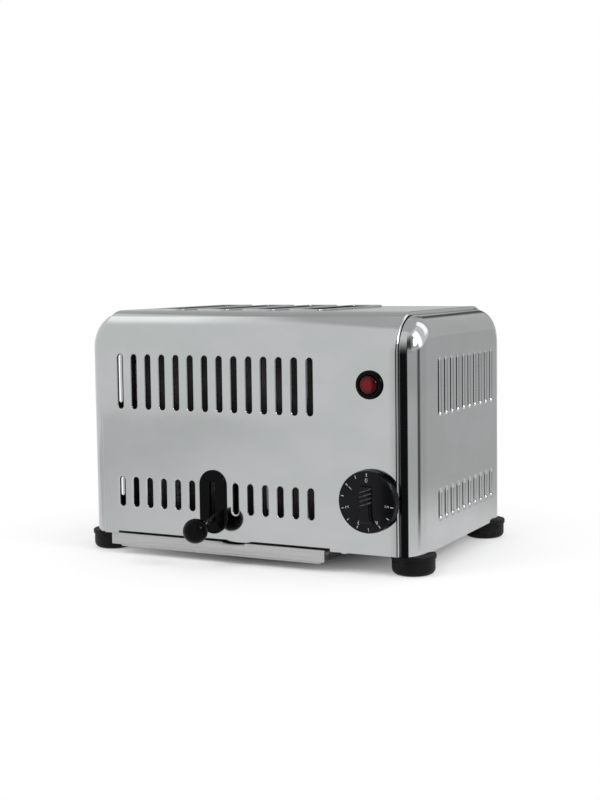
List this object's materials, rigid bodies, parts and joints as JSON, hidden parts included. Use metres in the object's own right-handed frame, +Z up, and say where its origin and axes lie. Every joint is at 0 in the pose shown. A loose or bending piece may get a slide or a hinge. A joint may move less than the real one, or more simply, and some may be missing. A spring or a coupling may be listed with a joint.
{
  "type": "toaster",
  "caption": "Upright steel toaster for sliced bread, with a side row of long slots, a ball-ended lift lever, a turning timer knob, an indicator lamp and a pull-out crumb tray.",
  "frame": {"origin": "centre of the whole toaster's box, at the height of the surface that its feet stand on", "axes": "+X to the right as seen from the front, +Y towards the back, +Z up; the front with the lever and the knob faces -Y"},
  "size_m": [0.3458, 0.2753, 0.225],
  "materials": {
    "polished_steel": "polished stainless sheet with soft reflections and faint vertical rolling bands",
    "brushed_steel": "stainless sheet with a fine grain along its length",
    "galvanised_steel": "dull zinc-coated sheet",
    "bright_steel": "bright plated wire, rod and screws",
    "gloss_black_plastic": "smooth glossy phenolic plastic",
    "satin_black_plastic": "satin moulded plastic with a fine grain",
    "black_rubber": "matt moulded rubber",
    "red_lens": "clear red moulded plastic, domed",
    "mica": "pressed mica board with flat resistance ribbon wound on it",
    "pale_nylon": "off-white moulded nylon, and the same tone as print on the dial"
  },
  "bodies": {
    "root": {"casing_wrapper": "polished_steel", "end_cap_left": "polished_steel", "end_cap_right": "polished_steel", "base_plate": "galvanised_steel", "inner_front_wall": "galvanised_steel", "inner_rear_wall": "galvanised_steel", "inner_left_wall": "galvanised_steel", "inner_right_wall": "galvanised_steel", "lever_bracket": "galvanised_steel", "timer_body": "galvanised_steel", "tray_runner_left": "galvanised_steel", "tray_runner_right": "galvanised_steel", "lever_pivot_pin": "bright_steel", "timer_screw_left": "bright_steel", "timer_screw_right": "bright_steel", "base_screw_front": "bright_steel", "base_screw_rear_1": "bright_steel", "base_screw_rear_2": "bright_steel", "base_screw_rear_3": "bright_steel", "guide_rod_1": "bright_steel", "guide_rod_2": "bright_steel", "guide_rod_3": "bright_steel", "guide_rod_4": "bright_steel", "bread_cage_1": "bright_steel", "bread_cage_2": "bright_steel", "bread_cage_3": "bright_steel", "bread_cage_4": "bright_steel", "foot_screw_front_left": "bright_steel", "foot_screw_front_right": "bright_steel", "foot_screw_rear_left": "bright_steel", "foot_screw_rear_right": "bright_steel", "lamp_bezel": "gloss_black_plastic", "lever_escutcheon": "gloss_black_plastic", "cable_gland": "satin_black_plastic", "gland_nut": "satin_black_plastic", "lamp_nut": "satin_black_plastic", "foot_front_left": "black_rubber", "foot_front_right": "black_rubber", "foot_rear_left": "black_rubber", "foot_rear_right": "black_rubber", "lamp_lens": "red_lens", "heating_element_1": "mica", "heating_element_2": "mica", "heating_element_3": "mica", "heating_element_4": "mica", "heating_element_5": "mica", "terminal_block": "pale_nylon"},
    "lever": {"lift_lever": "bright_steel", "lever_ball": "gloss_black_plastic"},
    "carriage": {"bread_carriage": "bright_steel"},
    "knob": {"timer_knob": "satin_black_plastic", "timer_spindle": "bright_steel"},
    "tray": {"crumb_tray": "brushed_steel"}
  },
  "joints": [
    {"name": "lever_turn", "type": "hinge", "parent": "root", "child": "lever", "pos_m": [-0.03045, -0.0291, 0.05425], "axis": [-1, 0, 0], "range_deg": [0, 24.5]},
    {"name": "carriage_lift", "type": "slide", "parent": "root", "child": "carriage", "axis": [0, 0, 1], "range_m": [0, 0.0218]},
    {"name": "knob_turn", "type": "hinge", "parent": "root", "child": "knob", "pos_m": [0.124, -0.0956, 0.0639], "axis": [0, 1, 0], "range_deg": [0, 262.5]},
    {"name": "tray_slide", "type": "slide", "parent": "root", "child": "tray", "axis": [0, -1, 0], "range_m": [0, 0.18]}
  ],
  "couplings": [
    {"joint": "carriage_lift", "follows": "lever_turn", "m_per_rad": 0.05078}
  ]
}
